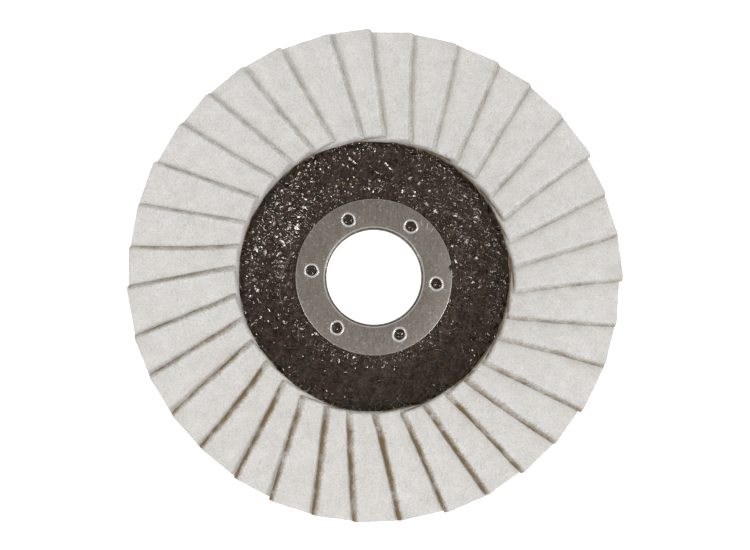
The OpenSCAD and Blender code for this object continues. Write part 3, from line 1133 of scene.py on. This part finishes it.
def makeStrands(name, starts, headings, lifts, lengths, bends, thickness):
    # thin curved fibres: tubes of three sides and four lengths each
    count, rings, sides = len(starts), strandShape["rings"], strandShape["sides"]
    across = np.cross(lifts, headings)
    across /= np.linalg.norm(across, axis=1)[:, None]
    spots = np.empty((count, rings, sides, 3))
    for i in range(rings):
        t = i / (rings - 1)
        forward = headings * (lengths * t)[:, None]
        sideways = across * (lengths * bends * t * t)[:, None]
        upward = lifts * (lengths * strandShape["arch"] * math.sin(math.pi * min(1, t * 1.15)))[:, None]
        centre = starts + forward + sideways + upward
        girth = thickness * (1 - strandShape["taper"] * t * t)
        for j in range(sides):
            a = fullTurn * j / sides
            spots[:, i, j] = centre + (across * math.cos(a) + lifts * math.sin(a)) * girth
    base = (np.arange(count) * rings * sides)[:, None]
    faces = []
    for i in range(rings - 1):
        for j in range(sides):
            n = (j + 1) % sides
            low, high = i * sides, (i + 1) * sides
            faces.append(base + np.array([[low + j, low + n, high + n, high + j]]))
    quads = np.concatenate(faces).tolist()
    caps = np.concatenate([
        base + np.array([[2, 1, 0]]), base + np.array([[0, 1, 2]]) + (rings - 1) * sides,
    ]).tolist()
    mesh = bpy.data.meshes.new(name)
    mesh.from_pydata(spots.reshape(-1, 3).tolist(), [], quads + caps)
    piece = bpy.data.objects.new(name, mesh)
    bpy.context.collection.objects.link(piece)
    return piece


def growFuzz(points, normals, u, v, h, soakAndShade, grime, seed):
    # loose ends on the face, and a fringe along the cut edges
    pick = np.random.default_rng(seed)
    onFace = np.flatnonzero((h > 0.99) & (u > -0.25) & (u < 0.97))
    onEdge = np.flatnonzero((h > 0.3) & (u > 0.985))
    onEnds = np.flatnonzero((h > 0.5) & (np.abs(v) > 0.985) & (u > -0.3))
    places = ((onFace, "faceFibres"), (onEdge, "edgeFibres"), (onEnds, "endFibres"))
    chosen = np.concatenate([pick.choice(spots, flapShape[amount]) for spots, amount in places])
    starts = points[chosen] + pick.normal(0, flapShape["fibreScatter"], (len(chosen), 3)) * (1, 1, 0)
    lifts = normals[chosen]
    headings = alongSurface(lifts, pick.uniform(0, fullTurn, len(chosen)))
    starts -= lifts * flapShape["fibreSink"]
    lengths = pick.uniform(*flapShape["fibreLength"], len(chosen)) * mm
    bends = pick.normal(0, 0.45, len(chosen))
    fuzz = makeStrands("fuzz", starts, headings, lifts, lengths, bends, flapShape["fibreRadius"])
    perStrand = strandShape["rings"] * strandShape["sides"]
    paintPoints(fuzz, "soakAndShade", np.repeat(soakAndShade[chosen], perStrand))
    paintPoints(fuzz, "grime", np.repeat(grime[chosen], perStrand))
    return fuzz


def trimPad(u, v):
    # the pad's rectangle with small round corners; also the distance of each point from the edge
    halfW, halfL, corner = flapShape["width"] / 2, flapShape["length"] / 2, flapShape["cornerRadius"]
    x, y = u * halfW, v * halfL
    coreX = np.clip(x, -halfW + corner, halfW - corner)
    coreY = np.clip(y, -halfL + corner, halfL - corner)
    offX, offY = x - coreX, y - coreY
    square = np.maximum(np.abs(offX), np.abs(offY))
    straight = np.hypot(offX, offY)
    shrink = np.where(straight > 0, square / np.maximum(straight, 1e-12), 1)
    x, y = coreX + offX * shrink, coreY + offY * shrink
    toEdge = np.minimum(corner - square, np.minimum(halfW - np.abs(x), halfL - np.abs(y)))
    toEdge = np.maximum(np.where(straight > 0, corner - square, toEdge), 0)
    return x, y, toEdge


def cutEdges(x, y, u, v, h, k, facing, dice):
    # cut edges that wander a little and slant, so that the lower edge stands out past the upper one
    seed = 100 + k
    waver = flapShape["cutWaver"] * ripple(y, y * 0, 7 * mm, seed)
    waver = waver + flapShape["fineWaver"] * ripple(y, h, 1.6 * mm, seed + 40)
    x = x + waver * smooth(0.5, 1.0, np.abs(u))
    endWaver = flapShape["fineWaver"] * ripple(x, x * 0, 6 * mm, seed + 80)
    endWaver = endWaver + flapShape["fineWaver"] * ripple(x, h, 1.5 * mm, seed + 120)
    y = y + endWaver * smooth(0.6, 1.0, np.abs(v))
    bow = flapShape["bow"] * math.sin(k * 2.4) + flapShape["fineBow"] * math.sin(k * 5.1)
    x = x + bow * (1 - v * v) * smooth(0.0, 1.0, u)
    y = y - flapShape["hiddenTrim"] * smooth(-0.48, -1, u) * smooth(0.4, 1, v)
    slant = (flapShape["leastSlant"] + flapShape["mostSlant"] * facing) * dice.uniform(0.7, 1.3) * mm
    x = x + slant * (1 - h) * smooth(0.6, 1.0, u)
    y = y - dice.uniform(*flapShape["endSlant"]) * mm * (1 - h) * smooth(-0.6, -1.0, v)
    return x, y


def stackPad(x, y, h, toEdge, toInner, seed, dice):
    # where it lies: the plan is uneven, but the stack keeps its surface
    halfW, halfL = flapShape["width"] / 2, flapShape["length"] / 2
    turn = math.radians(dice.gauss(0, flapShape["unevenTurnDeg"]))
    most = flapShape["mostUnevenDeg"]
    swing = math.radians(max(-most, min(most, dice.gauss(0, flapShape["unevenDeg"]))))
    reach = max(-1.6, min(1.6, dice.gauss(0, 1))) * flapShape["unevenLength"]
    planX = x * math.cos(turn) - y * math.sin(turn) + flapShape["edgeOffset"] - halfW
    planY = x * math.sin(turn) + y * math.cos(turn) + flapShape["innerEnd"] + halfL + reach
    planX, planY = (planX * math.cos(swing) + planY * math.sin(swing),
                    planY * math.cos(swing) - planX * math.sin(swing))
    normals = squareTo(planX, planY)
    upper = np.stack([planX, planY, upperHeight(planX, planY)], axis=1)

    # thickness, with rounded rims and a soft roll at the inner end
    drop = roundOver(toEdge, flapShape["edgeRoundOver"])
    innerDrop = roundOver(np.maximum(toInner, 0), flapShape["innerRoundOver"])
    lumps = flapShape["lumps"] * ripple(x, y, 5 * mm, seed + 160)
    lumps = lumps + flapShape["fineLumps"] * ripple(x, y, 1.3 * mm, seed + 200)
    thickness = (flapShape["step"] - flapShape["pressedGap"]) * normals[:, 2]
    topDepth = np.minimum(np.maximum(drop, innerDrop), 0.8 * thickness) - lumps
    bottomDepth = thickness - roundOver(toEdge, flapShape["undersideRound"])
    depth = topDepth + (1 - h) * (bottomDepth - topDepth)
    return upper - normals * depth[:, None], normals


def stainPad(u, v, h, toInner, k, facing, flapTurn, dice):
    # adhesive soaked into the root; painted shade mixed with adhesive brown on the inner end and the cut
    # edge, strongest on the sides in shade; and grime on the leading corner
    buried = np.clip((1 - h) * 2.2 + 0.25, 0, 1)
    # painted shade on the inner ends, darkest on one side of the disc, with adhesive soaked in
    seepageAndShade = 0.66 + 0.5 * math.cos(math.radians(flapTurn - flapShape["seepageAndShadeDeg"]))
    seepageAndShade *= 0.85 + 0.35 * math.sin(k * 1.9)
    innerWall = (1 - smooth(0.15 * mm, 1.0 * mm, toInner)) * (1 - 0.8 * smooth(0.70, 0.94, u))
    sideWall = smooth(0.93, 1.0, u)
    root = 1 - smooth(-1.0, -0.55, u)
    # painted shade on the cut edge, heavier where the walls face away from the light
    share = 0.40 + 0.80 * facing * dice.uniform(0.85, 1.15)
    fade = 0.45 + 0.55 * smooth(0, 5 * mm, toInner)
    edgeSoakAndShade = share * fade * sideWall * np.clip(1.25 - h, 0, 1)
    soakAndShade = np.clip(edgeSoakAndShade + seepageAndShade * innerWall * buried + 0.8 * root, 0, 1)
    grime = smooth(0.25, 1.0, u) * smooth(0.55, 1.0, v) * dice.uniform(0.15, 0.7)
    return soakAndShade, grime


def layFlap(pad, k, dice):
    # one flap, copied from the flat pad, cut, then laid on the flap after it
    isolate(pad)
    bpy.ops.object.duplicate()
    flap = bpy.context.object
    flap.name = f"feltFlap{k:02d}"
    u, v, h = readPoints(flap).T
    crowd = flapShape["crowd"]
    u = (1 - crowd) * u + crowd * np.sin(u * math.pi / 2)
    v = (1 - crowd) * v + crowd * np.sin(v * math.pi / 2)
    seed = 100 + k
    flapTurn = flapShape["startDeg"] + (k - 1) * math.degrees(pitchAngle)
    # nearness to the side where the cuts slant most, which also sets the painted shade on the cut edge
    facing = (0.5 + 0.5 * math.cos(math.radians(flapTurn - flapShape["slantDeg"]))) ** 2.5
    x, y, toEdge = trimPad(u, v)
    toInner = y + flapShape["length"] / 2
    x, y = cutEdges(x, y, u, v, h, k, facing, dice)
    points, normals = stackPad(x, y, h, toEdge, toInner, seed, dice)
    curl = dice.uniform(0.1, 1.0) * flapShape["cornerLift"]          # the free corner curls up a little
    points[:, 2] += curl * smooth(-0.1, 1, u) ** 2 * (0.35 + 0.65 * smooth(-0.2, 1, v))
    soakAndShade, grime = stainPad(u, v, h, toInner, k, facing, flapTurn, dice)
    writePoints(flap, points)
    paintPoints(flap, "soakAndShade", soakAndShade)
    paintPoints(flap, "grime", grime)
    joinPieces(flap, [growFuzz(points, normals, u, v, h, soakAndShade, grime, seed)])

    # swung round the axis to its place in the stack
    bpy.ops.transform.rotate(
        value=math.radians(flapShape["startDeg"]) + (k - 1) * pitchAngle, orient_axis="Z",
        center_override=(0, 0, 0),
    )
    bpy.ops.object.transform_apply(location=True, rotation=True, scale=True)
    return flap


pad = makeFlatPad()
flapDice = random.Random(2026)
for k in range(1, flapShape["count"] + 1):
    finishPiece(layFlap(pad, k, flapDice), felt, "felt", f"flap_{k:02d}", smoothDeg=60)
bpy.data.objects.remove(pad)
print("flaps laid", flapShape["count"])

lintShape = {
    "hairs": 26,
    "thickness": 0.022 * mm,
    "lengths": (1.2, 4.2),
    "reach": (21.5 * mm, 31.0 * mm),   # from the axis
    "above": 0.10 * mm,
    "perTuft": 2,
    "scatter": 0.4 * mm,
    "tufts": (
        (0.0273, -0.0095), (0.0290, -0.0060), (-0.0205, 0.0205), (0.0052, -0.0287), (-0.0176, -0.0118),
    ),
}


def makeLint():
    # stray felt hairs that lie on the plate, some of them in small tufts
    pick = np.random.default_rng(77)
    count, tufts = lintShape["hairs"], lintShape["tufts"]
    turn = pick.uniform(0, fullTurn, count)
    radius = pick.uniform(*lintShape["reach"], count)
    gathered = np.arange(count) < lintShape["perTuft"] * len(tufts)
    tuftPlace = np.array([tufts[i % len(tufts)] for i in range(count)])
    tuftPlace = tuftPlace + pick.normal(0, lintShape["scatter"], (count, 2))
    x = np.where(gathered, tuftPlace[:, 0], radius * np.sin(turn))
    y = np.where(gathered, tuftPlace[:, 1], radius * np.cos(turn))
    r = np.hypot(x, y)
    starts = np.stack([x, y, hubFrontZ + lift(r) + lintShape["above"]], axis=1)
    step = 0.05 * mm
    slope = (lift(r + step) - lift(r)) / step
    lifts = np.stack([-slope * x / r, -slope * y / r, np.ones(count)], axis=1)
    lifts /= np.linalg.norm(lifts, axis=1)[:, None]
    headings = alongSurface(lifts, pick.uniform(0, fullTurn, count))
    lengths = pick.uniform(*lintShape["lengths"], count) * mm
    bends = pick.normal(0, 0.5, count)
    return makeStrands("feltLint", starts, headings, lifts, lengths, bends, lintShape["thickness"])


finishPiece(makeLint(), felt, "felt", smoothDeg=60)
print("lint scattered", lintShape["hairs"])


studio = {
    "floorSize": 6,
    "floorDrop": 0.1 * mm,        # keeps the floor clear of the ring's face
    "floorTones": ((0.93, 0.93, 0.93, 1), (0.96, 0.96, 0.96, 1)),
    "floorGlow": 0.72,
    "ambient": 0.30,
    "lamps": (                    # name, place, width, power, and whether steel and resin mirror it
        ("keyRight", (0.43, -0.19, 0.60), 0.142, 2.05, True),
        ("sparkleLow", (-0.42, -0.20, 0.62), 0.13, 1.00, True),
        ("fillLeft", (-0.34, -0.06, 0.67), 1.00, 1.45, False),
        ("broadTop", (-0.02, 0.97, 0.60), 1.80, 4.2, False),
    ),
    "cameraPlace": (-0.0233, -0.0466, 1.2),
    "frameWidth": 173.7 * mm,     # width of the view at the felt face
    "sensor": 36,
}


def makeFloor():
    isolate(None)
    bpy.ops.mesh.primitive_plane_add(size=studio["floorSize"], location=(0, 0, seatZ - studio["floorDrop"]))
    floor = bpy.context.object
    floor.name = "floor"
    material, tree, shader, place = newMaterial("paleFloor")
    tone = mixColours(tree, noise(tree, place, 0.02), *studio["floorTones"])
    tree.links.new(tone, shader.inputs["Base Color"])
    shader.inputs["Roughness"].default_value = 0.9
    shader.inputs["Specular IOR Level"].default_value = 0.1
    shader.inputs["Emission Color"].default_value = (1, 1, 1, 1)
    shader.inputs["Emission Strength"].default_value = studio["floorGlow"]
    floor.data.materials.append(material)


def addLamp(name, place, width, power, mirrored):
    # a square softbox that faces the disc; the broad fills light the felt but show in no reflection
    light = bpy.data.lights.new(name, "AREA")
    light.shape = "RECTANGLE"
    light.size = width
    light.size_y = width
    light.energy = power
    lamp = bpy.data.objects.new(name, light)
    bpy.context.collection.objects.link(lamp)
    lamp.location = place
    lamp.visible_glossy = mirrored
    lamp.rotation_euler = (Vector((0, 0, 0)) - Vector(place)).to_track_quat("-Z", "Y").to_euler()


def makeSky():
    world = bpy.data.worlds.new("softStudio")
    world.use_nodes = True
    background = world.node_tree.nodes["Background"]
    background.inputs["Color"].default_value = (1, 1, 1, 1)
    background.inputs["Strength"].default_value = studio["ambient"]
    bpy.context.scene.world = world
    bpy.context.scene.view_settings.view_transform = "Standard"


def makeCamera():
    # almost overhead, aimed at the middle of the felt face, with +Y up in the view
    cameraData = bpy.data.cameras.new("studioCamera")
    camera = bpy.data.objects.new("studioCamera", cameraData)
    bpy.context.collection.objects.link(camera)
    target = Vector((0, 0, faceZ - flapShape["faceDrop"] / 2))
    camera.location = studio["cameraPlace"]
    backward = (camera.location - target).normalized()
    rightward = Vector((0, 1, 0)).cross(backward).normalized()
    upward = backward.cross(rightward)
    camera.rotation_euler = Matrix((rightward, upward, backward)).transposed().to_euler()
    cameraData.sensor_width = studio["sensor"]
    cameraData.lens = studio["sensor"] * (target - camera.location).length / studio["frameWidth"]
    bpy.context.scene.camera = camera


makeFloor()
for lampValues in studio["lamps"]:
    addLamp(*lampValues)
makeSky()
makeCamera()
print("stage and camera set")
